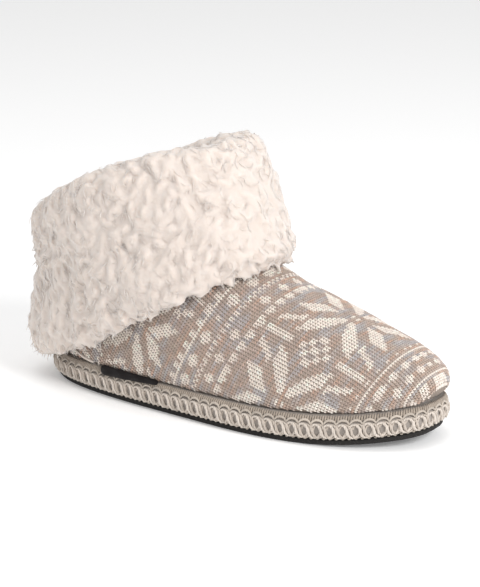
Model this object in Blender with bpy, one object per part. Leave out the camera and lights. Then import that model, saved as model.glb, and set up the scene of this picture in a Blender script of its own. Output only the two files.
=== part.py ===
"""Bootie slipper for the right foot, at its real size: a knitted upper with a leaning shaft, a thick
fleece cuff folded over the shaft's top, an insole, a fabric-wrapped midsole with a bound edge, a
thin rubber outsole and a blank side label.

While the pieces are made the heel is at x = 0 and the toe towards +x, the little toe side is -y,
and the floor is z = 0. The last step moves all of them so that the origin is under the middle.
"""

import math

import bmesh
import bpy
import numpy as np

# Sole, in metres
SOLE_LENGTH = 0.262
BALL_WIDTH = 0.100
TOE_SPRING = 0.0075
OUTSOLE_THICKNESS = 0.0036
OUTSOLE_INSET = 0.0022
MIDSOLE_HEIGHT = 0.0143
MIDSOLE_FLOOR = 0.0065
RIM_WIDTH = 0.0085
INSOLE_THICKNESS = 0.0060

# Upper
UPPER_WALL = 0.0030
SEAM_INSET = 0.0022
THROAT_RISE = 0.0670
HEEL_RISE = 0.064
COLLAR_FRONT_HEIGHT = 0.149
COLLAR_BACK_HEIGHT = 0.0955
COLLAR_LENGTH = 0.1335
COLLAR_WIDTH = 0.088
COLLAR_OVERHANG = -0.0015
COLLAR_ARCH = 0.0085

# Cuff
CUFF_THICKNESS = 0.0120
CUFF_LINING_THICKNESS = 0.0060
CUFF_LINING_DEPTH = 0.026
CUFF_FRONT_LENGTH = 0.073
CUFF_BACK_LENGTH = 0.078
CUFF_FRONT_FLARE = 0.0030
CUFF_BACK_FLARE = 0.0055
LOCK_DEPTH = 0.0018
LOCK_SWELL = 0.0010
LOCK_COUNT = 21

# Side label
LABEL_LENGTH = 0.048
LABEL_HEIGHT = 0.0068
LABEL_THICKNESS = 0.0012
LABEL_HEEL_DISTANCE = 0.054
LABEL_ABOVE_SEAM = 0.0022

# Clearance between pieces that touch, and the looser one between the cuff and the shaft it is folded over
GAP = 0.0003
CUFF_GAP = 0.0008

COLUMNS = 64
CUFF_COLUMNS = 84
HEEL_BEVEL = 0.0012
FLAT_FROM = 0.10
FLAT_TO = 0.70
HEEL_POWER = 0.58
TOE_POWER = 0.68
VAMP_POWER = 0.80

# Angles of a ring's columns: 0 at the heel, a quarter turn on the little toe side, a half turn at the toe
SOLE_ANGLES = np.arange(COLUMNS) * 2 * math.pi / COLUMNS
CUFF_ANGLES = np.arange(CUFF_COLUMNS) * 2 * math.pi / CUFF_COLUMNS

SEAM_HEIGHT = OUTSOLE_THICKNESS + GAP + MIDSOLE_HEIGHT + GAP

# The sole's outline. along: share of SOLE_LENGTH from heel to toe. centre and half: the middle line's
# shift towards the big toe and the half width, as shares of BALL_WIDTH.
OUTLINE = {
    "along": (0.00, 0.12, 0.42, 0.70, 0.86, 1.00),
    "centre": (0.00, -0.0055, -0.0225, 0.005, 0.0175, 0.0425),
    "half": (0.371, 0.3905, 0.4125, 0.495, 0.4925, 0.4325),
}

# Rings of the upper, each a closed loop around the foot, from the seam on the midsole to the throat.
# front and back: where the ring meets the middle line, as shares of SOLE_LENGTH from the heel.
# front_rise: share of THROAT_RISE above the seam. back_rise: share of HEEL_RISE above the seam.
# back_half and front_half: half widths at the heel and the forefoot, as shares of BALL_WIDTH.
# heel_power: how blunt the ring's back end is, from 0.5 for square to 1 for round.
# own: 0 where the ring keeps the sole's outline and 1 where it has those half widths of its own.
# spring: how much of the toe spring it follows.
UPPER_RINGS = {
    "front": (0.9866, 1.004, 1.002, 0.977, 0.931, 0.855, 0.775, 0.695, 0.622, 0.561),
    "front_rise": (0.00, 0.079, 0.187, 0.321, 0.455, 0.600, 0.710, 0.812, 0.918, 1.00),
    "back": (0.0084, 0.008, 0.009, 0.012, 0.016, 0.019, 0.020, 0.020, 0.019, 0.017),
    "back_rise": (0.00, 0.08, 0.22, 0.36, 0.50, 0.62, 0.73, 0.83, 0.92, 1.00),
    "back_half": (0.350, 0.360, 0.365, 0.365, 0.360, 0.360, 0.360, 0.365, 0.375, 0.385),
    "front_half": (0.465, 0.485, 0.490, 0.475, 0.445, 0.415, 0.395, 0.385, 0.385, 0.390),
    "heel_power": (0.58, 0.58, 0.60, 0.63, 0.66, 0.70, 0.74, 0.78, 0.82, 0.86),
    "own": (0.00, 0.30, 0.60, 0.85, 1.00, 1.00, 1.00, 1.00, 1.00, 1.00),
    "spring": (1.00, 1.00, 0.90, 0.75, 0.60, 0.40, 0.25, 0.10, 0.00, 0.00),
}

# The midsole's side. height: share of MIDSOLE_HEIGHT. inset: share of SEAM_INSET from the outline.
MIDSOLE_SIDE = {
    "height": (0.00, 0.10, 0.28, 0.50, 0.64, 0.72, 0.84, 0.95, 1.00),
    "inset": (0.73, 0.32, 0.05, 0.00, 0.14, 0.41, 0.41, 0.60, 1.00),
}


def curve_through(stations, values, at):
    """Smooth curve through (station, value) rows, with each row's slope taken from its neighbours."""
    stations, values = np.asarray(stations, float), np.asarray(values, float)
    slopes = np.gradient(values, stations)
    row = np.clip(np.searchsorted(stations, at) - 1, 0, len(stations) - 2)
    step = stations[row + 1] - stations[row]
    t = (at - stations[row]) / step
    return (
        (2 * t**3 - 3 * t**2 + 1) * values[row]
        + (t**3 - 2 * t**2 + t) * step * slopes[row]
        + (3 * t**2 - 2 * t**3) * values[row + 1]
        + (t**3 - t**2) * step * slopes[row + 1]
    )


def blend(a, b, share):
    return a + (b - a) * share


def soft_step(t):
    t = np.clip(t, 0.0, 1.0)
    return t * t * (3 - 2 * t)


def rounded(angle, back, front):
    """Across a ring, from -1 on the little toe side to 1, with a power for the bluntness of each end."""
    side = np.sin(angle)
    power = blend(back, front, soft_step((1 - np.cos(angle)) / 2))
    return -np.sign(side) * np.abs(side) ** power


def sole_bottom(x):
    """Height of the sole's underside: flat under heel and ball, a slight bevel behind, spring in front."""
    along = x / SOLE_LENGTH
    toe = np.clip((along - FLAT_TO) / (1 - FLAT_TO), 0, None)
    heel = np.clip((FLAT_FROM - along) / FLAT_FROM, 0, None)
    return TOE_SPRING * toe**2 + HEEL_BEVEL * heel**2


def outline(angle, inset=0.0):
    """The sole's outline as x and y, moved inwards by inset."""
    along = (1 - np.cos(angle)) / 2
    centre = curve_through(OUTLINE["along"], OUTLINE["centre"], along)
    half = curve_through(OUTLINE["along"], OUTLINE["half"], along)
    side = centre + half * rounded(angle, HEEL_POWER, TOE_POWER)
    points = np.stack([along * SOLE_LENGTH, BALL_WIDTH * side], 1)
    tangent = np.roll(points, -1, 0) - np.roll(points, 1, 0)
    tangent /= np.linalg.norm(tangent, axis=1)[:, None]
    return points + inset * np.stack([-tangent[:, 1], tangent[:, 0]], 1)


def sole_ring(angle, inset, height):
    """A ring of the sole at a height above its underside, bent by the toe spring."""
    points = outline(angle, inset)
    return np.column_stack([points, height + sole_bottom(points[:, 0])])


def collar_points():
    """Where the collar meets the middle line, front and back, as (x, z)."""
    back = (-COLLAR_OVERHANG, COLLAR_BACK_HEIGHT)
    rise = COLLAR_FRONT_HEIGHT - COLLAR_BACK_HEIGHT
    front = (back[0] + math.sqrt(COLLAR_LENGTH**2 - rise**2), COLLAR_FRONT_HEIGHT)
    return front, back


def upper_ring(angle, level):
    """Outer surface of the upper at a level: 0 is the seam, 1 the throat and 2 the collar."""
    along = (1 - np.cos(angle)) / 2
    rows = np.linspace(0, 1, len(UPPER_RINGS["front"]))
    row = {name: curve_through(rows, values, min(level, 1.0)) for name, values in UPPER_RINGS.items()}
    front = np.array([row["front"] * SOLE_LENGTH, SEAM_HEIGHT + row["front_rise"] * THROAT_RISE])
    back = np.array([row["back"] * SOLE_LENGTH, SEAM_HEIGHT + row["back_rise"] * HEEL_RISE])
    half = BALL_WIDTH * blend(row["back_half"], row["front_half"], soft_step((along - 0.1) / 0.65))
    shaft = max(level - 1.0, 0.0)
    collar_front, collar_back = collar_points()
    front = blend(front, np.array(collar_front), shaft)
    back = blend(back, np.array(collar_back), shaft)
    half = blend(half, COLLAR_WIDTH / 2, soft_step(shaft))
    own = row["own"]
    seam = outline(angle, SEAM_INSET)
    seam_along = (seam[:, 0] - seam[:, 0].min()) / np.ptp(seam[:, 0])
    along = blend(seam_along, along, own)
    middle = front[0] * along + back[0] * (1 - along)
    height = front[1] * along + back[1] * (1 - along) + COLLAR_ARCH * shaft * np.sin(angle) ** 2
    station = np.clip(middle / SOLE_LENGTH, 0, 1)
    centre = BALL_WIDTH * curve_through(OUTLINE["along"], OUTLINE["centre"], station)
    own_side = centre * (1 - shaft) + half * rounded(angle, row["heel_power"], VAMP_POWER)
    seam_side = seam[:, 1] * (row["front_half"] / UPPER_RINGS["front_half"][0])
    side = blend(seam_side, own_side, own)
    return np.column_stack([middle, side, height + row["spring"] * sole_bottom(middle)])


def outward(rings):
    """Unit normals of a stack of rings, pointing out of the foot."""
    along = np.roll(rings, -1, 1) - np.roll(rings, 1, 1)
    up = np.gradient(rings, axis=0)
    normals = np.cross(along, up)
    return normals / np.linalg.norm(normals, axis=2)[:, :, None]


def loft(name, rings, finish, closed=False):
    """A solid through rings with the same number of points: closed into a tube wall, or capped."""
    mesh = bmesh.new()
    loops = [[mesh.verts.new(point) for point in ring] for ring in rings]
    count = len(loops[0])
    pairs = list(zip(loops, loops[1:] + loops[:1])) if closed else list(zip(loops, loops[1:]))
    for lower, upper in pairs:
        for i in range(count):
            j = (i + 1) % count
            mesh.faces.new((lower[i], upper[i], upper[j], lower[j]))
    if not closed:
        cap(mesh, loops[0])
        cap(mesh, loops[-1])
    bmesh.ops.recalc_face_normals(mesh, faces=mesh.faces)
    data = bpy.data.meshes.new(name)
    mesh.to_mesh(data)
    mesh.free()
    data.materials.append(finish)
    data.shade_smooth()
    data.set_sharp_from_angle(angle=math.radians(40))
    made = bpy.data.objects.new(name, data)
    bpy.context.scene.collection.objects.link(made)
    return made


def cap(mesh, loop):
    """Closes a ring with strips that run across it, so that a curved sole stays smooth."""
    count = len(loop)
    half = count // 2
    for i in range(half):
        quad = (loop[i], loop[i + 1], loop[(count - i - 1) % count], loop[(count - i) % count])
        corners = [vertex for n, vertex in enumerate(quad) if vertex not in quad[:n]]
        mesh.faces.new(corners)


def material(name, colour, roughness):
    made = bpy.data.materials.new(name)
    made.use_nodes = True
    shader = made.node_tree.nodes["Principled BSDF"]
    shader.inputs["Base Color"].default_value = (*colour, 1)
    shader.inputs["Roughness"].default_value = roughness
    return made


def make_outsole(finish):
    """Thin rubber sheet with a rounded edge, set in a little under the midsole."""
    top = OUTSOLE_THICKNESS
    rows = ((0.0, 0.0012), (0.30 * top, 0.0002), (0.80 * top, 0.0), (top, 0.0006))
    rings = [sole_ring(SOLE_ANGLES, OUTSOLE_INSET + extra, height) for height, extra in rows]
    return loft("outsole", rings, finish)


def make_midsole(finish):
    """Foam tray in its knitted wrap. The bound lower edge stands out, and the rim carries the upper."""
    base = OUTSOLE_THICKNESS + GAP
    side = np.array([MIDSOLE_SIDE["inset"], MIDSOLE_SIDE["height"]]).T * (SEAM_INSET, MIDSOLE_HEIGHT)
    rings = [sole_ring(SOLE_ANGLES, inset, base + height) for inset, height in side]
    inner = SEAM_INSET + RIM_WIDTH
    rings.append(sole_ring(SOLE_ANGLES, inner, base + MIDSOLE_HEIGHT))
    rings.append(sole_ring(SOLE_ANGLES, inner, base + MIDSOLE_FLOOR))
    return loft("midsole", rings, finish)


def make_insole(finish):
    """Cushioned footbed that lies in the midsole's tray, with a crowned edge."""
    base = OUTSOLE_THICKNESS + GAP + MIDSOLE_FLOOR + GAP
    inner = SEAM_INSET + RIM_WIDTH + GAP
    thick = INSOLE_THICKNESS
    rows = ((0, 0.0008), (0.25 * thick, 0), (0.7 * thick, 0.0004), (0.94 * thick, 0.0022), (thick, 0.006))
    rings = [sole_ring(SOLE_ANGLES, inner + extra, base + height) for height, extra in rows]
    return loft("insole", rings, finish)


def upper_wall():
    """Outer and inner rings of the upper, from the seam to the collar."""
    foot_levels = np.linspace(0, 1, 14)
    shaft_levels = np.linspace(1, 2, 4)[1:]
    outer = np.array([upper_ring(SOLE_ANGLES, level) for level in (*foot_levels, *shaft_levels)])
    normals = outward(outer)
    normals[0, :, 2] = 0
    normals[0] /= np.linalg.norm(normals[0], axis=1)[:, None]
    inner = outer - UPPER_WALL * normals
    return outer, inner


def make_upper(finish):
    """Knitted foot and shaft in one wall, open at the collar and underneath."""
    outer, inner = upper_wall()
    return loft("upper", [*outer, *inner[::-1]], finish, closed=True)


def below_collar(depths):
    """Points and normals of the upper's outer surface at depths below the collar, given per row and column.
    Past the seam a column goes straight on down."""
    levels = np.concatenate([np.linspace(2, 1, 17), np.linspace(1, 0, 49)[1:]])
    rings = np.array([upper_ring(CUFF_ANGLES, level) for level in levels])
    normals = -outward(rings)
    points = np.zeros((*depths.shape, 3))
    facing = np.zeros((*depths.shape, 3))
    for i in range(depths.shape[1]):
        steps = np.linalg.norm(np.diff(rings[:, i], axis=0), axis=1)
        length = np.concatenate([[0], np.cumsum(steps)])
        for axis in range(3):
            points[:, i, axis] = np.interp(depths[:, i], length, rings[:, i, axis])
            facing[:, i, axis] = np.interp(depths[:, i], length, normals[:, i, axis])
        points[:, i, 2] -= np.clip(depths[:, i] - length[-1], 0, None)
    facing /= np.linalg.norm(facing, axis=2)[:, :, None]
    return points, facing


def make_cuff(finish):
    """Fleece cuff: it lines the top of the shaft, rolls over the collar and hangs outside in thick locks."""
    angle = CUFF_ANGLES
    share = (1 - np.cos(angle)) / 2
    drop = blend(CUFF_BACK_LENGTH, CUFF_FRONT_LENGTH, share) + COLLAR_ARCH * np.sin(angle) ** 2
    rows = np.array([0.0, 0.12, 0.28, 0.44, 0.60, 0.74, 0.86, 0.95, 1.0])
    body = np.array([0.85, 0.97, 1.0, 1.0, 1.0, 1.0, 0.93, 0.70, 0.30])
    base, facing = below_collar(rows[:, None] * drop)
    wave = np.cos(LOCK_COUNT * angle)
    near = CUFF_GAP + soft_step(rows)[:, None] * blend(CUFF_BACK_FLARE, CUFF_FRONT_FLARE, share)
    swell = LOCK_SWELL * wave * np.sin(3 * math.pi * rows[:, None] + 2 * np.sin(5 * angle))
    far = near + (CUFF_THICKNESS + swell) * body[:, None]
    tuft = LOCK_DEPTH * (1 + wave) * soft_step((rows[:, None] - 0.8) / 0.2)
    leg_out = base + far[:, :, None] * facing
    leg_in = base + near[:, :, None] * facing
    leg_out[:, :, 2] -= tuft
    leg_in[:, :, 2] -= 0.5 * tuft

    depths = np.array([0.0, 0.5, 1.0])[:, None] * CUFF_LINING_DEPTH * np.ones(CUFF_COLUMNS)
    base_in, facing_in = below_collar(depths)
    seat = -(UPPER_WALL + CUFF_GAP)
    lining_thick = CUFF_LINING_THICKNESS * np.array([1.0, 1.0, 0.5])
    lining = base_in + (seat - lining_thick)[:, None, None] * facing_in
    seat_in = base_in + seat * facing_in
    up = base[0] - base[1]
    up /= np.linalg.norm(up, axis=1)[:, None]
    middle = (far[0] + seat - CUFF_LINING_THICKNESS) / 2
    reach = far[0] - middle
    crest = []
    for turn in np.radians((36, 72, 108, 144)):
        rise = 0.8 * CUFF_THICKNESS * math.sin(turn)
        crest.append(base[0] + (middle + reach * math.cos(turn))[:, None] * facing[0] + rise * up)
    top = [seat_in[0] + CUFF_GAP * up, leg_in[0] + CUFF_GAP * up]
    rings = [*leg_out[::-1], *crest, *lining, *seat_in[:0:-1], *top, *leg_in[1:]]
    return loft("cuff", rings, finish, closed=True)


def make_label(finish):
    """Blank woven tab that comes out of the seam on the little toe side and lies over the sole's top edge."""
    angle = np.linspace(0, 2, 513)[:-1] * math.pi
    edge = outline(angle)[:256]
    above = np.array([upper_ring(angle, level)[:256] for level in np.linspace(0, 0.25, 21)])
    top = SEAM_HEIGHT + LABEL_ABOVE_SEAM
    rings = []
    for x in np.linspace(LABEL_HEEL_DISTANCE, LABEL_HEEL_DISTANCE + LABEL_LENGTH, 9):
        distance = np.hypot(above[:, :, 0] - x, above[:, :, 2] - top)
        side = above[np.unravel_index(np.argmin(distance), distance.shape)][1]
        hem = np.interp(x, edge[:, 0], edge[:, 1])
        near = np.array([(x, min(side, hem + SEAM_INSET), top), (x, hem, top - LABEL_HEIGHT)])
        near -= (0, 2 * GAP, 0)
        far = near - (0, LABEL_THICKNESS, 0)
        rings.append(np.array([near[0], near[1], far[1], far[0]]))
    return loft("side_label", rings, finish)


def settle_origin(parts):
    """Moves all pieces so that the origin is under the middle of the whole shoe."""
    corners = np.array([vertex.co for part in parts for vertex in part.data.vertices])
    low, high = corners.min(0), corners.max(0)
    shift = (-(low[0] + high[0]) / 2, -(low[1] + high[1]) / 2, -low[2])
    for part in parts:
        for vertex in part.data.vertices:
            vertex.co = [value + move for value, move in zip(vertex.co, shift)]


def main():
    for item in list(bpy.data.objects):
        bpy.data.objects.remove(item)
    knit = material("knit", (0.62, 0.55, 0.49), 0.9)
    fleece = material("fleece", (0.90, 0.86, 0.80), 0.95)
    wrap = material("wrap", (0.66, 0.61, 0.54), 0.9)
    rubber = material("rubber", (0.05, 0.05, 0.05), 0.7)
    woven = material("woven", (0.02, 0.015, 0.015), 0.6)
    parts = [
        make_outsole(rubber),
        make_midsole(wrap),
        make_insole(fleece),
        make_upper(knit),
        make_cuff(fleece),
        make_label(woven),
    ]
    settle_origin(parts)


main()
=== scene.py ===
# %% [markdown]
# # A bootie slipper for the right foot
# The slipper has a knitted foot, a thick fleece cuff folded over the shaft, a platform
# wrapped in yarn and a thin rubber outsole. The imported solids give the shape and the
# size of everything, so each visible piece starts from its solid or is laid on it.

# %% Load the frame
import math

import bpy
import numpy as np
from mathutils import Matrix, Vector, noise
from mathutils.bvhtree import BVHTree


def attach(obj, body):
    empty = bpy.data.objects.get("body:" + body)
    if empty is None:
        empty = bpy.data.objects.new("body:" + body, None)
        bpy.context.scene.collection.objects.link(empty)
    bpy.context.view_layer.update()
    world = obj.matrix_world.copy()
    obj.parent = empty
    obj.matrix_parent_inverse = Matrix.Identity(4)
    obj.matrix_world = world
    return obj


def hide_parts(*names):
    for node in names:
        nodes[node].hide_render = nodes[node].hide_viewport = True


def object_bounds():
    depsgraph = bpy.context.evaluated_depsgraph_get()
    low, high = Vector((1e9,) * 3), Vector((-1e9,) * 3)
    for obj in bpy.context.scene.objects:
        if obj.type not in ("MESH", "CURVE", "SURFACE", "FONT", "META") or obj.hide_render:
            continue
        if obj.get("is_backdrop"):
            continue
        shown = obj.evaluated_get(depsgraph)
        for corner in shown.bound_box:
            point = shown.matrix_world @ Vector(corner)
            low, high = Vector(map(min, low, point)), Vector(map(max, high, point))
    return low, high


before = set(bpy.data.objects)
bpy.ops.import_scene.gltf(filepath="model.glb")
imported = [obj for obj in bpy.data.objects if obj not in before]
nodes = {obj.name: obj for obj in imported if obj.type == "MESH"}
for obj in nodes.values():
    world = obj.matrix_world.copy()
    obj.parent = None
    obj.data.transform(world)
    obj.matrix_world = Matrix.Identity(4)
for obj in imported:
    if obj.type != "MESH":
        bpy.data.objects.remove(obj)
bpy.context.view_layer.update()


# %% [markdown]
# Every soft piece begins as a copy of its solid. The solid is loose triangles, so the
# copy is merged, its triangles are paired into quads, and a subdivision surface rounds
# it. The original stays hidden behind it for the physics.

# %% Smooth copies of the solids
MERGE_WITHIN = 0.00002
PAIR_ANGLE = 1.2


def only(piece):
    bpy.ops.object.select_all(action="DESELECT")
    piece.select_set(True)
    bpy.context.view_layer.objects.active = piece


def apply_modifier(piece, kind, **values):
    only(piece)
    made = piece.modifiers.new(kind.lower(), kind)
    for name, value in values.items():
        setattr(made, name, value)
    bpy.ops.object.modifier_apply(modifier=made.name)


def soft_copy(node, name, levels):
    piece = bpy.data.objects.new(name, nodes[node].data.copy())
    bpy.context.scene.collection.objects.link(piece)
    piece.data.materials.clear()
    only(piece)
    bpy.ops.mesh.customdata_custom_splitnormals_clear()
    bpy.ops.object.mode_set(mode="EDIT")
    bpy.ops.mesh.select_all(action="SELECT")
    bpy.ops.mesh.remove_doubles(threshold=MERGE_WITHIN)
    bpy.ops.mesh.tris_convert_to_quads(face_threshold=PAIR_ANGLE, shape_threshold=PAIR_ANGLE)
    bpy.ops.object.mode_set(mode="OBJECT")
    apply_modifier(piece, "SUBSURF", levels=levels, render_levels=levels)
    bpy.ops.object.shade_smooth()
    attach(piece, "root")
    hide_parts(node)
    print(name, len(piece.data.polygons), "faces")
    return piece


def points_of(piece):
    found = np.zeros(len(piece.data.vertices) * 3)
    piece.data.vertices.foreach_get("co", found)
    return found.reshape(-1, 3)


def normals_of(piece):
    found = np.zeros(len(piece.data.vertices) * 3, np.float32)
    piece.data.vertices.foreach_get("normal", found)
    return found.reshape(-1, 3).astype(float)


def move_points(piece, points):
    piece.data.vertices.foreach_set("co", points.astype(np.float32).ravel())
    piece.data.update()


def tree_of(piece):
    faces = [tuple(f.vertices) for f in piece.data.polygons]
    return BVHTree.FromPolygons(points_of(piece).tolist(), faces)


# %% [markdown]
# Yarn, loops and tufts are all round strands. One helper makes thousands of them as a
# single mesh. Each follows its own path, swells in the middle and closes in a point at
# both ends, so that it is a closed body of a few dozen faces. A yarn that runs all the
# way round the slipper meets itself instead and has no ends.

# %% Strands from paths
def unit(vectors):
    return vectors / np.maximum(np.linalg.norm(vectors, axis=-1, keepdims=True), 1e-12)


def swell(share, start, span, power):
    """Thickness along a strand: thin at its ends and full in its middle."""
    return np.sin(math.pi * (start + span * share)) ** power


def strands(paths, radii, facing, sides=4, closed=False):
    """Points and triangles for many strands.

    paths runs over strand, step and xyz, and facing is each strand's outward side.
    """
    count, steps = paths.shape[:2]
    if closed:
        ahead = unit(np.roll(paths, -1, 1) - np.roll(paths, 1, 1))
    else:
        ahead = unit(np.gradient(paths, axis=1))
    out = np.broadcast_to(facing[:, None] if facing.ndim == 2 else facing, paths.shape)
    across = unit(np.cross(ahead, out))
    out = np.cross(across, ahead)
    turn = (np.arange(sides) + 0.5) * 2 * math.pi / sides
    ring = across[:, :, None] * np.cos(turn)[:, None] + out[:, :, None] * np.sin(turn)[:, None]
    rings = paths[:, :, None] + radii[:, :, None, None] * ring
    number = np.arange(count * steps * sides).reshape(count, steps, sides)
    if not closed:
        for end in (0, -1):
            rings[:, end] = paths[:, end, None]
            number[:, end] = number[:, end, :1]
    a = number if closed else number[:, :-1]
    b = np.roll(number, -1, 1) if closed else number[:, 1:]
    a2, b2 = np.roll(a, -1, 2), np.roll(b, -1, 2)
    halves = [np.stack(corners, -1).reshape(-1, 3) for corners in ((a, b2, a2), (a, b, b2))]
    faces = np.concatenate(halves)
    first, second, third = faces.T
    real = (first != second) & (second != third) & (first != third)
    return rings.reshape(-1, 3), faces[real]


def strand_piece(name, points, faces, finish, colours=None):
    used, faces = np.unique(faces, return_inverse=True)
    faces = faces.reshape(-1, 3)
    data = bpy.data.meshes.new(name)
    data.from_pydata(points[used].tolist(), [], faces.tolist())
    if colours is not None:
        layer = data.color_attributes.new("yarn", "FLOAT_COLOR", "POINT")
        rgba = np.ones((len(used), 4), np.float32)
        rgba[:, :3] = colours[used]
        layer.data.foreach_set("color", rgba.ravel())
    data.materials.append(finish)
    piece = bpy.data.objects.new(name, data)
    bpy.context.scene.collection.objects.link(piece)
    only(piece)
    bpy.ops.object.shade_smooth()
    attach(piece, "root")
    corner = points[used][faces]
    volume = (corner[:, 0] * np.cross(corner[:, 1], corner[:, 2])).sum() / 6
    print(name, len(faces), "triangles, volume in cubic mm", round(volume * 1e9))
    return piece


# %% [markdown]
# Materials. Yarn and fleece are matt with a soft sheen from loose fibres. Their colour
# wanders a little from place to place, and a fine bump stands for the single fibres.

# %% Material helpers
def wire(tree, start, end):
    tree.links.new(start, end)


def set_inputs(node, values):
    for name, value in values.items():
        node.inputs[name].default_value = value


def new_material(name):
    made = bpy.data.materials.new(name)
    made.use_nodes = True
    return made, made.node_tree, made.node_tree.nodes["Principled BSDF"]


def texture(tree, kind, place, values):
    """A texture on the piece's own coordinates."""
    made = tree.nodes.new("ShaderNodeTex" + kind)
    set_inputs(made, values)
    wire(tree, place.outputs["Object"], made.inputs["Vector"])
    return made


def relief(tree, shader, height, strength, distance, invert=False):
    """A bump on the shader, raised by a texture's output."""
    made = tree.nodes.new("ShaderNodeBump")
    set_inputs(made, {"Strength": strength, "Distance": distance})
    made.invert = invert
    wire(tree, height, made.inputs["Height"])
    wire(tree, made.outputs["Normal"], shader.inputs["Normal"])


def fibre_material(name, colour, second, size, sheen, bump, attribute=None, roughness=0.9,
                   grain=2600, depth=0.0004):
    """Matt fibres: two colours in patches, and a fine grain for relief.

    size and grain count patches and grains per metre. With an attribute, each strand has
    its own colour and the patches only shade it.
    """
    made, tree, shader = new_material(name)
    set_inputs(shader, {"Roughness": roughness, "Sheen Weight": sheen,
                        "Sheen Roughness": 0.5, "Specular IOR Level": 0.2})
    place = tree.nodes.new("ShaderNodeTexCoord")
    patch = texture(tree, "Noise", place, {"Scale": size, "Detail": 4})
    mix = tree.nodes.new("ShaderNodeMix")
    mix.data_type = "RGBA"
    wire(tree, patch.outputs["Fac"], mix.inputs["Factor"])
    if attribute:
        yarn = tree.nodes.new("ShaderNodeVertexColor")
        yarn.layer_name = attribute
        shade = tree.nodes.new("ShaderNodeHueSaturation")
        shade.inputs["Value"].default_value = 0.8
        wire(tree, yarn.outputs["Color"], shade.inputs["Color"])
        wire(tree, yarn.outputs["Color"], mix.inputs["A"])
        wire(tree, shade.outputs["Color"], mix.inputs["B"])
    else:
        mix.inputs["A"].default_value = (*colour, 1)
        mix.inputs["B"].default_value = (*second, 1)
    wire(tree, mix.outputs["Result"], shader.inputs["Base Color"])
    fibre = texture(tree, "Noise", place, {"Scale": grain, "Detail": 3})
    relief(tree, shader, fibre.outputs["Fac"], bump, depth)
    return made


yarn_finish = fibre_material("dyed_yarn", None, None, 900, 0.25, 0.5, attribute="yarn")
# The knit's backing is a taupe darker than the yarn: painted shade for the gaps between the
# stitches.
gap_shade_finish = fibre_material("knit_back", (0.30, 0.24, 0.195), (0.22, 0.18, 0.15),
                               500, 0.1, 0.6)
felt_finish = fibre_material("felt", (0.37, 0.33, 0.30), (0.29, 0.26, 0.235), 600, 0.1, 0.6)
fleece_finish = fibre_material("fleece", (0.735, 0.662, 0.612), (0.675, 0.596, 0.538),
                               160, 0.3, 0.4, grain=900, depth=0.0009)
set_inputs(fleece_finish.node_tree.nodes["Principled BSDF"],
           {"Subsurface Weight": 0.7, "Subsurface Scale": 0.0035,
            "Subsurface Radius": (1, 0.9, 0.8)})

# %% [markdown]
# The knitted foot. On the real slipper it is a jersey tube, cut and sewn to the
# platform. Its fabric could be a bumped texture, but up close each stitch is a small V
# that casts its own shadow, so here the V's are real strands on a smooth backing. The
# backing is the upper's solid, made round. Its outer faces are a taupe darker than the
# yarn, as painted shade in the gaps between the stitches. Its inner faces are the
# fleece lining.

# %% Backing and lining of the foot
backing = soft_copy("upper", "knit_backing", 2)
backing.data.materials.append(gap_shade_finish)
backing.data.materials.append(fleece_finish)
core = np.array([(0.105, 0.002, 0.030), (-0.045, 0, 0.045), (-0.060, 0, 0.140)])


def share_along(points, start, end):
    """How far along a straight line each point lies, from 0 at its start to 1 at its end."""
    way = end - start
    return np.clip(((points - start) @ way) / (way @ way), 0, 1)


def from_core(points):
    """Vectors from the nearest point of the foot's and shaft's middle line to each point."""
    best, near = np.full(len(points), 9.0), np.zeros_like(points)
    for a, b in zip(core, core[1:]):
        vector = points - (a + share_along(points, a, b)[:, None] * (b - a))
        far = np.linalg.norm(vector, axis=1)
        closer = far < best
        near[closer], best[closer] = vector[closer], far[closer]
    return near


centres = np.array([f.center for f in backing.data.polygons])
turned = np.array([f.normal for f in backing.data.polygons])
inside = (turned * from_core(centres)).sum(1) < 0
backing.data.polygons.foreach_set("material_index", inside.astype(np.int32))
print("lining faces", int(inside.sum()))

# %% [markdown]
# Soft creases. Jersey on an empty shoe dips a little behind the ball, sags below the
# cuff in front and is drawn in along the seam round the toe. Each row below is one
# trough or ridge: where it starts and ends, how wide it is and how deep. The inner
# faces get no creases, and a low pile of noise instead.

# %% Creases and the lining's pile
CREASES = {
    "instep sag": ((0.030, -0.034, 0.072), (0.044, -0.012, 0.080), 0.009, 0.0011),
    "instep sag, far side": ((0.030, 0.034, 0.070), (0.046, 0.014, 0.077), 0.009, 0.0010),
    "behind the ball": ((0.022, -0.046, 0.030), (0.040, -0.040, 0.056), 0.010, 0.0010),
    "behind the ball, far side": ((0.014, 0.040, 0.030), (0.034, 0.038, 0.056), 0.010, 0.0012),
    "arch": ((-0.030, 0.038, 0.028), (0.004, 0.038, 0.032), 0.009, 0.0012),
    "ball swell": ((0.062, -0.048, 0.034), (0.086, -0.040, 0.040), 0.012, -0.0007),
    "toe bend": ((0.092, -0.020, 0.052), (0.096, 0.020, 0.053), 0.010, 0.0006),
    "heel dip": ((-0.085, -0.040, 0.030), (-0.066, -0.040, 0.044), 0.009, 0.0009),
}
TOE_GATHERS = 26
GATHER_DEPTH = 0.00030
GATHER_HEIGHT = 0.0225


def noise_at(points, scale):
    """Smooth noise at each point, about -1 to 1. scale counts its waves per metre."""
    return np.array([noise.noise(Vector(p) * scale) for p in points])


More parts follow.
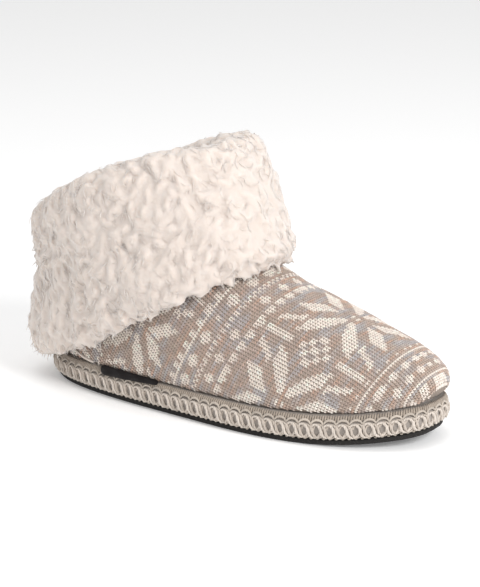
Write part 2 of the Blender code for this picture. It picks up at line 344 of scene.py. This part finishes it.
rest = points_of(backing)
inward = -unit(from_core(rest))
depth = np.zeros(len(rest))
for start, end, width, deep in CREASES.values():
    start, end = np.array(start), np.array(end)
    share = share_along(rest, start, end)
    away = np.linalg.norm(rest - start - share[:, None] * (end - start), axis=1)
    depth += deep * np.exp(-((away / width) ** 2))
bearing = np.arctan2(rest[:, 1], rest[:, 0] - 0.06)
gather = np.cos(bearing * TOE_GATHERS) * np.clip((rest[:, 0] - 0.03) / 0.06, 0, 1)
by_seam = np.exp(-(((rest[:, 2] - GATHER_HEIGHT) / 0.006) ** 2))
depth += GATHER_DEPTH * (1 + gather) * by_seam * (rest[:, 2] > 0.0195)
outward = normals_of(backing)
lining = (outward * inward).sum(1) > 0
pile = (0.0013 * noise_at(rest, 190) + 0.0005 * noise_at(rest, 420)) * lining
move_points(backing, rest + (depth * ~lining)[:, None] * inward + pile[:, None] * outward)
print("deepest crease, mm:", round(depth.max() * 1000, 2))
foot_tree = tree_of(backing)
cuff_tree = tree_of(nodes["cuff"])

# %% [markdown]
# The fabric's courses lie across the foot, square to the sloping ridge of the vamp, and
# its wales run along it. Each course is found by cutting the foot with a leaning plane.
# Stitches are then set off along the cut at the stitch width, counted from the ridge.

# %% Courses and wales
LEAN = math.radians(27.6)
WALE = 0.00205
COURSE = 0.00175
SIDE_SLOPE = 0.52
THROAT = -0.019
CORE_HEIGHT = 0.032
SEAM_HEIGHT = 0.0187
SHAFT_TOP = 0.105
RAY_LENGTH = 0.25
along = np.array([math.cos(LEAN), 0, -math.sin(LEAN)])
rise = np.array([math.sin(LEAN), 0, math.cos(LEAN)])


def toe_spring(x, start=0.0596):
    """How far the sole has risen from the floor at x. The seam starts to rise a bit sooner."""
    return 0.0075 * np.clip((x - start) / 0.0786, 0, 1) ** 2


def cut(level, side):
    """Points and normals of one half of a course, from the seam up to the ridge or the cuff."""
    x = (level + math.sin(LEAN) * CORE_HEIGHT) / math.cos(LEAN)
    middle = np.array([x, 0.0045 * np.clip(x / 0.138, 0, 1) ** 2, CORE_HEIGHT])
    found, facing = [], []
    for angle in np.radians(np.arange(118, -0.1, -2.0)):
        way = math.cos(angle) * rise + side * math.sin(angle) * np.array([0, 1, 0])
        start = Vector(middle + RAY_LENGTH * way)
        hit, normal, _, _ = foot_tree.ray_cast(start, Vector(-way), RAY_LENGTH)
        if hit is None or normal.dot(Vector(way)) < 0.05:
            if found:
                break
            continue
        if hit.z < SEAM_HEIGHT + toe_spring(hit.x, 0.0594):
            continue
        if hit.z > SHAFT_TOP:
            break
        found.append(hit[:])
        facing.append(normal[:])
    return np.array(found), np.array(facing), angle < 0.01


levels, level = [], -0.1165
while level < 0.1085:
    levels.append(level)
    squeeze = 1.0 if level < 0.06 else 1.0 - 0.38 * min((level - 0.06) / 0.045, 1.0)
    level += COURSE * squeeze
print(len(levels), "courses")


def at_length(at, length, values):
    return [np.interp(at, length, column) for column in values.T]


stitches = []
half_length = {}
for course in range(len(levels) - 1, -1, -1):
    level = levels[course]
    for side in (-1, 1):
        line, facing, whole = cut(level, side)
        if len(line) < 3:
            continue
        steps = np.linalg.norm(np.diff(line, axis=0), axis=1)
        length = np.concatenate([[0], np.cumsum(steps)])
        if whole and level > THROAT:
            half_length[side] = (level, length[-1])
        kept_level, kept = half_length[side]
        total = kept + max(kept_level - level, 0) * SIDE_SLOPE
        for wale in range(int(total / WALE)):
            at = total - (wale + 0.5) * WALE
            if not 0.0003 < at < length[-1]:
                continue
            point = at_length(at, length, line)
            normal = at_length(at, length, facing)
            ahead = at_length(at + 0.0005, length, line)
            stitches.append((course, side * (wale + 0.5), *point, *normal, *ahead))
stitches = np.array(stitches)
print(len(stitches), "places for stitches")

# %% [markdown]
# Most of the shaft is under the cuff, where no stitch shows. A stitch is left out where
# the cuff covers both its own place and the place 12 mm further down the foot.

# %% Leave out what the cuff covers
def clear_of(tree, points, ways, reach):
    """Whether a ray from each point, in its own direction, meets nothing within reach."""
    rays = (tree.ray_cast(Vector(p), Vector(way), reach) for p, way in zip(points, ways))
    return np.array([ray[0] is None for ray in rays])


origin, facing = stitches[:, 2:5], unit(stitches[:, 5:8])
lower = origin + 0.012 * np.array([0.6, 0, -0.8])
shown = clear_of(cuff_tree, origin, facing, 0.03) | clear_of(cuff_tree, lower, facing, 0.03)
stitches = stitches[shown]
print(len(stitches), "stitches that show")

# %% [markdown]
# The pattern is a traditional one of eight-pointed stars, with small checks between
# them and rows of zigzag and plain lines at the sides. A knitter charts it by hand on
# squared paper. Here a few rules say which stitches are cream, counted from a star.

# %% The pattern's chart
REPEAT = 36
STAR_LEVEL = 0.045
REAR_LEVEL = -0.0594
REAR_SHIFT = 5.5
TOE_LEVEL = 0.08
LINE_LEVELS = (0.0828, 0.101)
line_courses = [int(np.argmin(np.abs(np.array(levels) - at))) for at in LINE_LEVELS]


def star(a, b):
    """Eight petals. a counts wales from the star's middle, and b counts courses."""
    out = (a - 3.5) / 11.5
    side = 0 <= out <= 1 and abs(b - 1.4 - 8 * out) <= 0.7 + 2.1 * min(1, 3 * out, 3 - 3 * out)
    onward = 1 <= a <= 6.6 and 3.6 <= b - a <= 9.5
    bar = 11 <= b <= 17 and abs(a - 10.5 - 0.55 * (b - 11)) <= 1.0
    return side or onward or bar or (a + b <= 2 and b != 0)


def between(c, b):
    """Checks and a streak on the line midway between two stars. c counts wales from it."""
    checks = c + 0.9 * b < 6.5 and ((c + 1) // 2 + b // 2) % 2 == 0
    return checks or (c < 1 and 9 <= b <= 18)


def past_the_lines(near, course):
    """The toe: two plain lines, rows of small diamonds between them and blocks beyond."""
    ahead = levels[course] - LINE_LEVELS[0]
    if course in line_courses:
        return True
    if 0.0025 < ahead < 0.0085:
        return abs((near + 0.5) % 5 - 2.5) + abs(ahead - 0.0055) / 0.0014 <= 1.8
    if 0.0095 < ahead < 0.0160:
        return abs((near + 3.0) % 5 - 2.5) + abs(ahead - 0.0128) / 0.0014 <= 1.8
    return ahead > 0.0195 and (near // 3) % 2 == 0


def cream_at(wale, course):
    """Whether a stitch is cream. wale counts from the ridge, and course from the heel."""
    level = levels[course]
    rows = round((level - STAR_LEVEL) / COURSE)
    if level < (STAR_LEVEL + REAR_LEVEL) / 2:
        rows = round((level - REAR_LEVEL) / COURSE)
        wale = wale - math.copysign(REAR_SHIFT, wale)
    near = abs((wale + REPEAT / 2) % REPEAT - REPEAT / 2)
    b = abs(rows)
    if level > TOE_LEVEL:
        return past_the_lines(near, course)
    if b <= 18 and (star(near, b) or between(REPEAT / 2 - near, b)):
        return True
    if 20 <= b <= 22:
        return abs((near + 0.5) % 4 - 2) <= 0.6 + (b == 21) * 0.1 + (b - 20) * 0.5
    if 24 <= b <= 27:
        return abs((near + 0.5) % 8 - 4) + abs(b - 25.5) <= 2.1
    return b == 29 and near % 2 < 1


cream = np.array([cream_at(w, int(c)) for c, w in stitches[:, :2]])
print("cream stitches", int(cream.sum()))

# %% [markdown]
# The ground yarn is space-dyed: it drifts between taupe, rose tan and blue grey along
# each course. Noise that is stretched along the course gives that drift.

# %% Yarn colours
CREAM = np.array([0.97, 0.865, 0.78])
TAUPE = np.array([0.54, 0.428, 0.362])
TAN = np.array([0.62, 0.430, 0.335])
GREY = np.array([0.53, 0.490, 0.485])
DRIFT = 2.6
rng = np.random.default_rng(7)


def drift_over(wales, courses, layer):
    """Noise from stitch to stitch whose waves are some wales long and some courses wide."""
    places = [Vector((w / wales, c / courses, layer)) for c, w in stitches[:, :2]]
    return np.clip(DRIFT * np.array([noise.noise(p) for p in places]), 0, 1)[:, None]


ground = TAUPE + drift_over(5, 1.2, 3.1) * (TAN - TAUPE)
ground = ground + drift_over(7, 2.0, 17.3) * (GREY - ground)
yarn = np.where(cream[:, None], CREAM, ground)
yarn = yarn * (1 + 0.07 * rng.standard_normal(len(yarn)))[:, None]

# %% [markdown]
# One stitch is two legs that lean apart. Each leg sinks at both ends, where it goes
# through the stitches before and after it, and swells in the middle.

# %% Stitches
LEG_RADIUS = 0.00052
LEG_STEPS = 5
LEG_SIDES = 4
origin, facing = stitches[:, 2:5], unit(stitches[:, 5:8])
across = unit(stitches[:, 8:11] - origin)
across -= (across * facing).sum(1)[:, None] * facing
across = unit(across) * -np.sign(stitches[:, 1])[:, None]
onward = unit(np.cross(facing, across))
onward *= np.sign((onward @ along))[:, None]
steps = np.array([levels[min(int(c) + 1, len(levels) - 1)] - levels[int(c)]
                  for c in stitches[:, 0]])
steps = np.where(steps > 0, steps, COURSE) / np.clip(np.abs(onward @ along), 0.5, 1)

share = np.linspace(0, 1, LEG_STEPS)
paths, sizes, tints, outs = [], [], [], []
for leg in (-1, 1):
    sway = leg * WALE * (0.05 + 0.43 * np.sin(share * math.pi / 2))
    reach = (-0.30 + 1.30 * share)[None, :] * steps[:, None]
    lift = 0.00045 * np.sin(math.pi * share) - 0.00020
    path = origin[:, None] + sway[:, None] * across[:, None] + reach[:, :, None] * onward[:, None]
    paths.append(path + lift[:, None] * facing[:, None])
    sizes.append(np.tile(LEG_RADIUS * swell(share, 0.08, 0.84, 0.6), (len(origin), 1)))
    tints.append(yarn * (1 + 0.04 * rng.standard_normal(len(yarn)))[:, None])
    outs.append(facing)
paths, sizes, tints, outs = map(np.concatenate, (paths, sizes, tints, outs))
front = np.concatenate([origin[:, 0] > np.quantile(origin[:, 0], 0.5)] * 2)
for name, chosen in (("knit_front", front), ("knit_rear", ~front)):
    points, faces = strands(paths[chosen], sizes[chosen], outs[chosen], LEG_SIDES)
    tint = np.repeat(np.clip(tints[chosen], 0, 1), LEG_STEPS * LEG_SIDES, axis=0)
    strand_piece(name, points, faces, yarn_finish, tint)

# %% [markdown]
# A strand of cream yarn is held in the seam at the heel. It comes out from under the cuff
# and runs as far as the label.

# %% Seam yarn
share = np.linspace(0, 1, 24)
x, z = -0.104 + 0.027 * share, 0.0280 - 0.0085 * np.sin(share * math.pi / 2) ** 0.9
laid = [foot_tree.ray_cast(Vector((a, -0.1, b)), Vector((0, 1, 0)))[:2] for a, b in zip(x, z)]
path = np.array([hit + 0.0007 * out for hit, out in laid])
radii = np.full((1, len(path)), 0.00075)
points, faces = strands(path[None], radii, np.array([[0, -1.0, 0]]), sides=8)
tint = np.tile(CREAM * 0.86, (len(points), 1))
strand_piece("seam_yarn", points, faces, yarn_finish, tint)

# %% [markdown]
# The platform. The real one is foam board wrapped in knit, with a crocheted edge laid
# round it: a taupe ribbed strip on top, and cream loops below with dark slots in them.
# The wrap is the solid made round. The edge's yarns are laid on its side further down,
# by how far round the platform they are.

# %% Platform wrap
EDGE_HEIGHT = 0.0105
wrap = soft_copy("midsole", "platform_wrap", 2)
wrap.data.materials.append(felt_finish)
wrap.data.materials.append(fleece_finish)
wrap_tree = tree_of(wrap)
edge_angles = np.linspace(0, 2 * math.pi, 1441)[:-1]


def band_line(height):
    """The platform's side at a height above the outsole: points all round, and normals."""
    found, normals = [], []
    for angle in edge_angles:
        x = 0.007 - math.cos(angle) * 0.13
        low = Vector((x * 0.86, 0, height + toe_spring(x)))
        out = Vector((-math.cos(angle) ** 3, -math.sin(angle), 0)).normalized()
        hit, normal, _, _ = wrap_tree.ray_cast(low + 0.12 * out, -out, 0.2)
        found.append(hit[:])
        normals.append(normal[:])
    return np.array(found), np.array(normals)


edge, edge_normal = band_line(EDGE_HEIGHT)
edge_step = np.linalg.norm(np.roll(edge, -1, 0) - edge, axis=1)
edge_length = np.concatenate([[0], np.cumsum(edge_step)])
perimeter = edge_length[-1]
print("edge all round, mm:", round(perimeter * 1000, 1))

# %% [markdown]
# Inside the foot, the platform's rim shows beside the footbed. There it is covered with
# the same fleece, so its faces that lie well in from the side get that finish and pile.

# %% Fleece on the inner rim
RIM_PILE = 0.0009


def depth_in(points):
    """How far in from the platform's side each point lies."""
    return np.array([np.hypot(edge[:, 0] - p[0], edge[:, 1] - p[1]).min() for p in points])


middle = np.array([f.center for f in wrap.data.polygons])
covered = (depth_in(middle) > 0.005) & (middle[:, 2] > 0.007)
wrap.data.polygons.foreach_set("material_index", covered.astype(np.int32))
rest, out = points_of(wrap), normals_of(wrap)
pile = 1 + noise_at(rest, 220)
on_rim = (depth_in(rest) > 0.006) & (rest[:, 2] > 0.015) & (out[:, 2] > 0.3)
move_points(wrap, rest + (RIM_PILE * pile * on_rim)[:, None] * out)
print("fleece faces on the rim", int(covered.sum()))

# %% [markdown]
# Places on the platform's side. A yarn is laid by its distance round the edge, its
# height and how far it stands off. The side is fullest at half its height, so a place
# above or below that is set in, and it rises with the toe and a little at the heel.

# %% Places on the side
BAND_LOW, BAND_HEIGHT = 0.0039, 0.0143
INSET_SHARE = (0.0, 0.1, 0.28, 0.5, 0.64, 0.72, 0.84, 0.95, 1.0)
INSET = np.array((0.73, 0.32, 0.05, 0.0, 0.14, 0.41, 0.41, 0.60, 1.0)) * 0.0022


def round_edge(distance, values):
    """Flat places or normals at distances round the edge."""
    closed = np.vstack([values, values[:1]])
    return np.stack([np.interp(distance, edge_length, closed[:, axis]) for axis in (0, 1)], -1)


def on_band(distance, height, stand):
    """Points on the side at distances round it, heights and stand-offs, and their normals."""
    distance = np.mod(distance, perimeter)
    flat, out = round_edge(distance, edge), unit(round_edge(distance, edge_normal))
    heel = np.clip((-0.0976 - flat[..., 0]) / 0.0262, 0, 1)
    lift = toe_spring(flat[..., 0]) + 0.0012 * heel**2
    share = np.clip((height - BAND_LOW) / BAND_HEIGHT, 0, 1)
    flat = flat + out * (stand - np.interp(share, INSET_SHARE, INSET))[..., None]
    points = np.concatenate([flat, (height + lift)[..., None]], -1)
    return points, np.concatenate([out, 0 * out[..., :1]], -1)


def put_together(parts):
    """One set of points, triangles and colours from several."""
    points, faces, tints = zip(*parts)
    starts = np.cumsum([0] + [len(p) for p in points[:-1]])
    faces = [part + start for part, start in zip(faces, starts)]
    return np.concatenate(points), np.concatenate(faces), np.concatenate(tints)


# %% [markdown]
# The crocheted edge is two doubled yarns, each of three plies, that swing up and down in
# turn and cross between the swings. The gaps that they leave are the row of dark slots,
# and the low swings make the scalloped lower edge. Each ply is one strand that runs all
# the way round.

# %% Crocheted edge
SLOTS = 2 * round(perimeter / 0.0074 / 2)
SLOT_STEPS = 12
PLIES = 3
TWIST = 1.5
YARNS = (  # the shift along the edge, the stand-off, the radius and the colour
    (-0.00115, 0.0005, 0.00108, (0.74, 0.66, 0.585)),
    # The same cream yarn as the line above, in a darker copy: painted shade on the yarn that
    # stands further back.
    (0.00115, 0.0002, 0.00100, (0.61, 0.535, 0.465)),
)
pitch = perimeter / SLOTS
walk = np.arange(SLOTS * SLOT_STEPS) / SLOT_STEPS


def uneven(scale, layer, second):
    """Smooth noise along the way round, counted in slots."""
    return np.array([noise.noise(Vector((w * scale, layer, second))) for w in walk])


parts = []
for phase in (1, -1):
    swing = np.cos(math.pi * walk)
    swing = phase * np.sign(swing) * np.abs(swing) ** 0.6
    shade = 1 + 0.10 * uneven(1.7, phase, 5.0)
    for shift, stand, size, colour in YARNS:
        wander = 0.0005 * uneven(0.9, phase, shift * 1000)
        height = 0.0089 + (0.0043 - 0.3 * abs(shift)) * swing + wander
        over = stand + 0.00055 * phase * np.sin(math.pi * walk)
        for ply in range(PLIES):
            twist = 2 * math.pi * (walk * TWIST + ply / PLIES)
            distance = walk * pitch + shift + 0.0003 * swing + 0.45 * size * np.cos(twist)
            path, out = on_band(distance, height, over + 0.5 * size * np.sin(twist))
            radii = size * (0.58 + 0.10 * uneven(2.3, shift * 900, phase + ply))
            points, faces = strands(path[None], radii[None], out[None], closed=True)
            parts.append((points, faces, np.repeat(shade[:, None] * np.array(colour), 4, axis=0)))
points, faces, tint = put_together(parts)
strand_piece("crochet_edge", points, faces, yarn_finish, tint)

# %% [markdown]
# Above the slots runs a row of small arches, and above those a taupe ribbed strip that
# meets the foot in the seam. Small cream knots finish the lower edge.

# %% Arches, ribs and knots
RIBS_PER_SLOT = 5
KNOTS_PER_SLOT = 2


def row_of(share, distance, height, stand, size, blunt, colour, sides=5):
    path, out = on_band(distance, height + 0 * distance, stand + 0 * distance)
    radii = np.tile(size * swell(share, blunt, 1 - 2 * blunt, 0.5), (len(distance), 1))
    points, faces = strands(path, radii, out, sides=sides)
    shade = 1 + 0.08 * rng.standard_normal(len(distance))
    return points, faces, np.repeat(shade, len(share) * sides)[:, None] * np.array(colour)


start = np.arange(SLOTS)[:, None] * pitch
share = np.linspace(0, 1, 8)
bow = np.sin(math.pi * share)
arches = row_of(share, start - 0.50 * pitch * np.cos(math.pi * share), 0.0122 + 0.0033 * bow,
                0.0010, 0.00072, 0.12, (0.56, 0.49, 0.42))
share = np.linspace(0, 1, 5)
bow = np.sin(math.pi * share)
start = np.arange(SLOTS * RIBS_PER_SLOT)[:, None] * pitch / RIBS_PER_SLOT
ribs = row_of(share, start + 0.0006 * share, 0.0136 + 0.0047 * share, 0.0002 + 0.0004 * bow,
              0.00068, 0.15, (0.44, 0.37, 0.305), 4)
start = np.arange(SLOTS * KNOTS_PER_SLOT)[:, None] * pitch / KNOTS_PER_SLOT
knots = row_of(share, start - 0.0011 + 0.0022 * share, 0.0046 - 0.0005 * bow,
               0.0004, 0.00062, 0.10, (0.47, 0.415, 0.35))
points, faces, tint = put_together([arches, ribs, knots])
strand_piece("band_ribs", points, faces, yarn_finish, np.clip(tint, 0, 1))

# %% [markdown]
# The cuff. The real one is sherpa fleece, a knit with a deep pile that curls into
# lumps. The hanging sheet could be simulated, but the solid already has its folded
# shape. So its copy is covered with fat curls, each a bent strand that lies half sunk
# in the surface, and a voxel remesh fuses them into one woolly skin.

# %% Curls and tufts
def survey(piece):
    """Areas, middles and normals of a piece's faces, which are free of the foot, and a tree."""
    area = np.array([f.area for f in piece.data.polygons])
    middle = np.array([f.center for f in piece.data.polygons])
    normal = unit(np.array([f.normal for f in piece.data.polygons]))
    return area, middle, normal, clear_of(foot_tree, middle, normal, 0.02), tree_of(piece)


cuff = soft_copy("cuff", "fleece_cuff", 1)
cuff.data.materials.append(fleece_finish)
area, middle, normal, free, cuff_body = survey(cuff)


def curl_strands(count, seed, reach, size, steps, sink, fan=0.0):
    """Bent strands that lie on the fleece: mostly downwards, swirled by a slow noise."""
    pick = np.random.default_rng(seed)
    chosen = pick.choice(len(area), count, replace=True, p=area * free / (area * free).sum())
    root = middle[chosen] + 0.0015 * pick.standard_normal((count, 3))
    near = [cuff_body.find_nearest(Vector(p)) for p in root]
    root = np.array([hit[0][:] for hit in near])
    out = np.array([hit[1][:] for hit in near])
    down = np.array([0.0, 0, -1])
    down = unit(down - out * (out @ down)[:, None])
    aside = np.cross(out, down)
    swirl = noise_at(root, 45) + 0.4 * noise_at(root, 120)
    wild = 1.2 + 2.0 * np.clip((root[:, 0] + root[:, 2] + 0.03) / 0.07, 0, 1)
    bearing = wild * swirl + fan * pick.standard_normal(count)
    way = np.cos(bearing)[:, None] * down + np.sin(bearing)[:, None] * aside
    cross = np.cross(out, way)
    share = np.linspace(0, 1, steps)
    long = (reach * pick.uniform(0.6, 1.3, count))[:, None, None]
    bow = pick.choice([-1, 1], count)[:, None] * pick.uniform(0.15, 0.55, count)[:, None]
    bend = bow * (share - 0.3) ** 2 * 2
    run = (share - 0.3)[:, None] * way[:, None] + bend[:, :, None] * cross[:, None]
    path = root[:, None] + long * run
    skin = [[cuff_body.find_nearest(Vector(p))[0][:] for p in strand] for strand in path]
    path = 0.65 * np.array(skin) + 0.35 * path
    radii = size * pick.uniform(0.7, 1.3, count)[:, None] * swell(share, 0.10, 0.82, 0.7)
    height = sink * radii + 0.0003 * np.sin(math.pi * share)
    return path + height[:, :, None] * out[:, None], radii, out


def rim_tufts(count, seed, reach, size, steps):
    """Tufts that hang from the lower rim and lie on the foot."""
    pick = np.random.default_rng(seed)
    level = unit(normal * (1, 1, 0))
    rim = (normal[:, 2] < -0.1) & (normal[:, 2] > -0.97)
    rim[rim] = clear_of(foot_tree, middle[rim], level[rim], 0.03)
    weight = area * rim
    chosen = pick.choice(len(area), count, replace=True, p=weight / weight.sum())
    hang = np.array([0, 0, -0.9]) + 0.35 * level[chosen]
    way = unit(hang + 0.35 * pick.standard_normal((count, 3)))
    share = np.linspace(0, 1, steps)
    long = (reach * pick.uniform(0.5, 1.2, count))[:, None, None]
    path = middle[chosen][:, None] + long * (share[:, None] - 0.25) * way[:, None]
    radii = size * pick.uniform(0.7, 1.2, count)[:, None] * swell(share, 0.15, 0.80, 0.7)
    for row, sizes in zip(path, radii):
        for step in range(steps):
            hit, up, _, _ = foot_tree.find_nearest(Vector(row[step]))
            short = sizes[step] - (Vector(row[step]) - hit).dot(up)
            if short > 0:
                row[step] += short * np.array(up)
    return path, radii, level[chosen]


# %% [markdown]
# The fat curls and tufts are one mesh at first. It is joined to the cuff, and the
# remesh makes one closed skin of both, which is then smoothed a little.

# %% Fleece body of the cuff
FLEECE_VOXEL = 0.00128
fat = [
    curl_strands(count=1900, seed=21, reach=0.0105, size=0.00165, steps=9, sink=0.30),
    rim_tufts(count=420, seed=23, reach=0.0075, size=0.00125, steps=9),
]
path, radii, out = map(np.concatenate, zip(*fat))
points, faces = strands(path, radii, out, sides=8)
curls = strand_piece("curls", points, faces, fleece_finish)
only(cuff)
curls.select_set(True)
bpy.ops.object.join()
apply_modifier(cuff, "REMESH", mode="VOXEL", voxel_size=FLEECE_VOXEL, use_smooth_shade=True)
apply_modifier(cuff, "SMOOTH", factor=0.5, iterations=3)
cuff.data.materials.clear()
cuff.data.materials.append(fleece_finish)
print("cuff", 2 * len(cuff.data.polygons), "triangles")

# %% [markdown]
# Fine hairs stand a little off the curls. They soften the outline and make the ragged
# lower edge.

# %% Hairs
area, middle, normal, free, cuff_body = survey(cuff)
fine = [
    curl_strands(count=2400, seed=22, reach=0.0070, size=0.00022, steps=6, sink=1.2, fan=0.6),
    rim_tufts(count=400, seed=24, reach=0.0070, size=0.00028, steps=6),
]
path, radii, out = map(np.concatenate, zip(*fine))
points, faces = strands(path, radii, out)
strand_piece("fleece_hairs", points, faces, fleece_finish)

# %% [markdown]
# Inside, the foot stands on a fleece footbed. It is the insole's solid, rounded and
# given a low pile by noise. Its upper edge spreads by 1 mm to meet the platform's rim.

# %% Footbed
PILE = 0.0012
SPREAD = 0.0010
footbed = soft_copy("insole", "footbed", 3)
footbed.data.materials.append(fleece_finish)
rest, out = points_of(footbed), normals_of(footbed)
pile = noise_at(rest, 190) + 0.4 * noise_at(rest, 480)
away = rest * (1, 1, 0)
away[:, 0] -= np.clip(rest[:, 0], -0.085, 0.095)
away = unit(away)
height = rest[:, 2] - toe_spring(rest[:, 0])
upper_part = np.clip((height - 0.0125) / 0.0025, 0, 1)
spread = SPREAD * upper_part * np.clip((out * away).sum(1) / 0.3, 0, 1)
raised = np.clip((out[:, 2] - 0.3) / 0.5, 0, 1)
move_points(footbed, rest + (PILE * pile * raised)[:, None] * out + spread[:, None] * away)

# %% [markdown]
# The outsole is one moulded sheet of matt rubber with fine pimples, so its solid stays
# and only gets a finish. The pimples are a bump of round cells.

# %% Rubber
rubber, tree, shader = new_material("pimpled_rubber")
set_inputs(shader, {"Base Color": (0.020, 0.018, 0.017, 1), "Roughness": 0.8,
                    "Specular IOR Level": 0.3})
place = tree.nodes.new("ShaderNodeTexCoord")
cells = texture(tree, "Voronoi", place, {"Scale": 520})
relief(tree, shader, cells.outputs["Distance"], 0.8, 0.0006, invert=True)
nodes["outsole"].data.materials.clear()
nodes["outsole"].data.materials.append(rubber)

# %% [markdown]
# The label is a folded tab of dark satin tape that comes out of the seam. It is left
# blank. It narrows towards its front end and puckers a little along its length.

# %% Label
satin = fibre_material("satin_tape", (0.004, 0.003, 0.003), (0.010, 0.006, 0.006),
                       1800, 0.0, 0.4, roughness=0.38)
label = soft_copy("side_label", "label_tab", 3)
label.data.materials.append(satin)
rest = points_of(label)
low, high = rest.min(0), rest.max(0)
along_label = (rest[:, 0] - low[0]) / (high[0] - low[0])
top_edge = high[2] - 0.0004
taper = 1 - 0.52 * along_label - 0.25 * np.exp(-along_label / 0.05)
pucker = 0.00025 * np.sin(along_label * 21) * (1 - along_label * 0.4)
rest[:, 2] = top_edge + (rest[:, 2] - top_edge) * taper
rest[:, 1] -= pucker * (rest[:, 2] < top_edge - 0.001)
move_points(label, rest)

# %% [markdown]
# Three pieces give when they are pressed: the fleece fold, the footbed and the foam
# platform.

# %% [markdown]
# The floor is a plain pale sheet that runs on under the camera's view. Soft light comes
# from two large panels and a bright surround, as in a studio tent. The floor gives off
# a little light of its own, so that it stays near white.

# %% Floor and light
bpy.ops.object.select_all(action="DESELECT")
bpy.ops.mesh.primitive_plane_add(size=12, location=(0, 0, 0))
floor = bpy.context.object
floor.name = "floor"
paper, _, shader = new_material("pale_paper")
set_inputs(shader, {"Base Color": (0.97, 0.97, 0.97, 1), "Roughness": 0.9,
                    "Emission Color": (1, 1, 1, 1), "Emission Strength": 0.16})
floor.data.materials.append(paper)
floor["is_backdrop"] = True

world = bpy.data.worlds.new("surround")
world.use_nodes = True
set_inputs(world.node_tree.nodes["Background"], {"Color": (1, 1, 1, 1), "Strength": 0.625})
bpy.context.scene.world = world


def turn_back_to(made, way):
    """Turn a lamp or a camera so that it looks straight against a direction."""
    made.rotation_euler = (-way).to_track_quat("-Z", "Y").to_euler()


def panel(name, location, size, power):
    lamp = bpy.data.lights.new(name, "AREA")
    lamp.shape = "DISK"
    lamp.size = size
    lamp.energy = power
    made = bpy.data.objects.new(name, lamp)
    made.location = location
    turn_back_to(made, made.location - Vector((0, 0, 0.05)))
    bpy.context.scene.collection.objects.link(made)


panel("key_panel", (1.40, -0.50, 1.0), 0.7, 18.6)
panel("top_panel", (-0.1, -0.2, 1.7), 1.0, 5.5)
bpy.context.scene.view_settings.view_transform = "Standard"

# %% [markdown]
# The camera stands 34 degrees round from the slipper's outer side towards the toe, 15
# degrees up and 1.2 m away. Its lens and shift come from a focal length and an image
# centre in pixels, for a frame of 480 by 587.

# %% Camera
AZIMUTH, ELEVATION = math.radians(34), math.radians(15)
DISTANCE = 1.2
AIM = Vector((0, 0, 0.075))
FRAME_WIDTH, FRAME_HEIGHT = 480, 587
FOCAL = 2042.38
CENTRE_X, CENTRE_Y = 230.39, 279.82
SENSOR = 36
back = Vector((
    math.sin(AZIMUTH) * math.cos(ELEVATION),
    -math.cos(AZIMUTH) * math.cos(ELEVATION),
    math.sin(ELEVATION),
))
camera = bpy.data.objects.new("camera", bpy.data.cameras.new("camera"))
camera.location = AIM + DISTANCE * back
turn_back_to(camera, back)
camera.data.sensor_width = SENSOR
camera.data.lens = FOCAL * SENSOR / FRAME_HEIGHT
camera.data.shift_x = (FRAME_WIDTH / 2 - CENTRE_X) / FRAME_HEIGHT
camera.data.shift_y = (CENTRE_Y - FRAME_HEIGHT / 2) / FRAME_HEIGHT
camera.data.clip_start = 0.01
bpy.context.scene.collection.objects.link(camera)
bpy.context.scene.camera = camera

# %% Bounds of the shown pieces
low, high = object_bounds()
